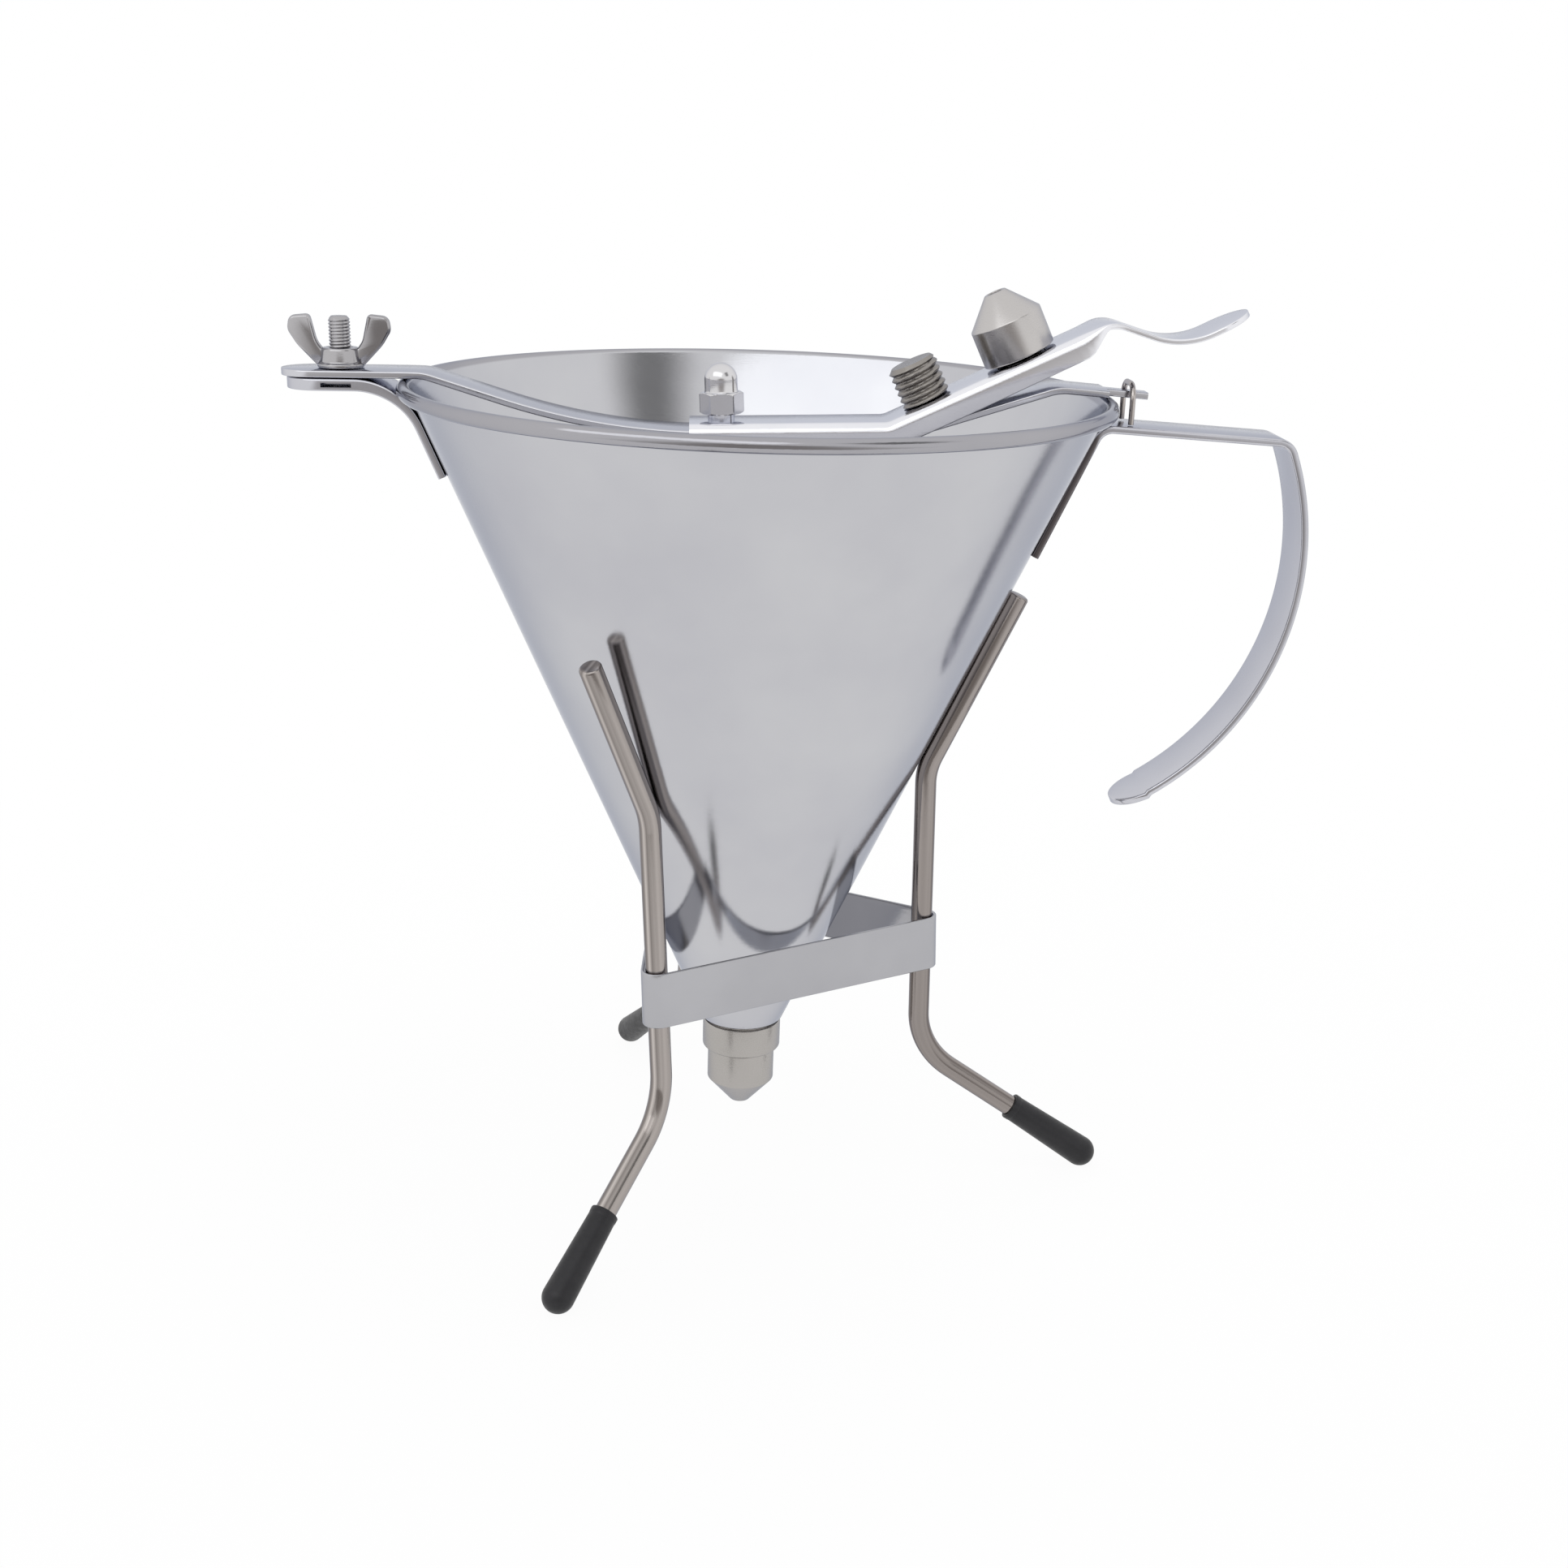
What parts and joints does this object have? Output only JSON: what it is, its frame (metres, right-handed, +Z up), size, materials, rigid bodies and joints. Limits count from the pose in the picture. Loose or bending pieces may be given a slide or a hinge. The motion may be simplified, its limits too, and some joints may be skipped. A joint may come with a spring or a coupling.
{
  "type": "piston funnel",
  "caption": "Steel dispensing funnel on a wire stand: a thumb lever lifts a spring-loaded piston to open the outlet nozzle.",
  "frame": {"origin": "on the table under the middle of the object's outline", "axes": "+Z up; +X towards the handle, along the crossbar; +Y away from the picture's camera"},
  "size_m": [0.2876, 0.2, 0.2677],
  "materials": {
    "polished_steel": "mirror polished stainless sheet",
    "rod_steel": "bright drawn and plated steel",
    "satin_steel": "turned stainless, satin",
    "black_vinyl": "soft black vinyl, matt",
    "seal_rubber": "matt"
  },
  "bodies": {
    "stand": {"stand_band": "polished_steel", "leg_rod_right": "rod_steel", "leg_rod_back": "rod_steel", "leg_rod_front": "rod_steel", "foot_cap_right": "black_vinyl", "foot_cap_back": "black_vinyl", "foot_cap_front": "black_vinyl"},
    "funnel": {"funnel_cone": "polished_steel", "outlet_hub": "satin_steel", "handle": "polished_steel", "wire_eye": "rod_steel", "tab_bracket": "polished_steel", "clamp_stud": "rod_steel", "crossbar": "polished_steel", "fulcrum_pin": "satin_steel", "return_spring": "rod_steel"},
    "outlet_tip": {"outlet_nozzle": "satin_steel"},
    "wing": {"wing_nut": "rod_steel"},
    "trigger": {"lever": "polished_steel", "bare_nozzle_stud": "satin_steel", "spare_nozzle_stud": "satin_steel"},
    "spare_tip": {"spare_nozzle": "satin_steel"},
    "piston": {"piston_rod": "rod_steel", "acorn_nut": "rod_steel", "valve_plug": "satin_steel", "plug_seal": "seal_rubber", "spring_collar": "satin_steel"}
  },
  "joints": [
    {"name": "funnel_lift", "type": "slide", "parent": "stand", "child": "funnel", "axis": [0, 0, 1], "range_m": [0, 0.17]},
    {"name": "lever_hinge", "type": "hinge", "parent": "funnel", "child": "trigger", "pos_m": [0.02409, 0.00003, 0.22966], "axis": [0.0001, 1, 0.0034], "range_deg": [0, 7], "stiffness_Nm_per_rad": 1.5, "springref_deg": -11.46},
    {"name": "piston_lift", "type": "slide", "parent": "funnel", "child": "piston", "axis": [-0.0142, -0.0034, 0.9999], "range_m": [0, 0.006], "deforming": ["return_spring"]},
    {"name": "wing_turn", "type": "hinge", "parent": "funnel", "child": "wing", "pos_m": [-0.12742, -0.00001, 0.24673], "axis": [0.0287, -0.0034, 0.9996], "continuous": true},
    {"name": "outlet_nozzle_turn", "type": "hinge", "parent": "funnel", "child": "outlet_tip", "pos_m": [-0.02033, 0.00068, 0.03998], "axis": [0.0426, -0.0034, 0.9991], "continuous": true},
    {"name": "spare_nozzle_turn", "type": "hinge", "parent": "trigger", "child": "spare_tip", "pos_m": [0.06138, -0.00004, 0.24894], "axis": [-0.3965, -0.0031, 0.918], "continuous": true}
  ],
  "couplings": [
    {"joint": "piston_lift", "follows": "lever_hinge", "m_per_rad": 0.0462}
  ]
}
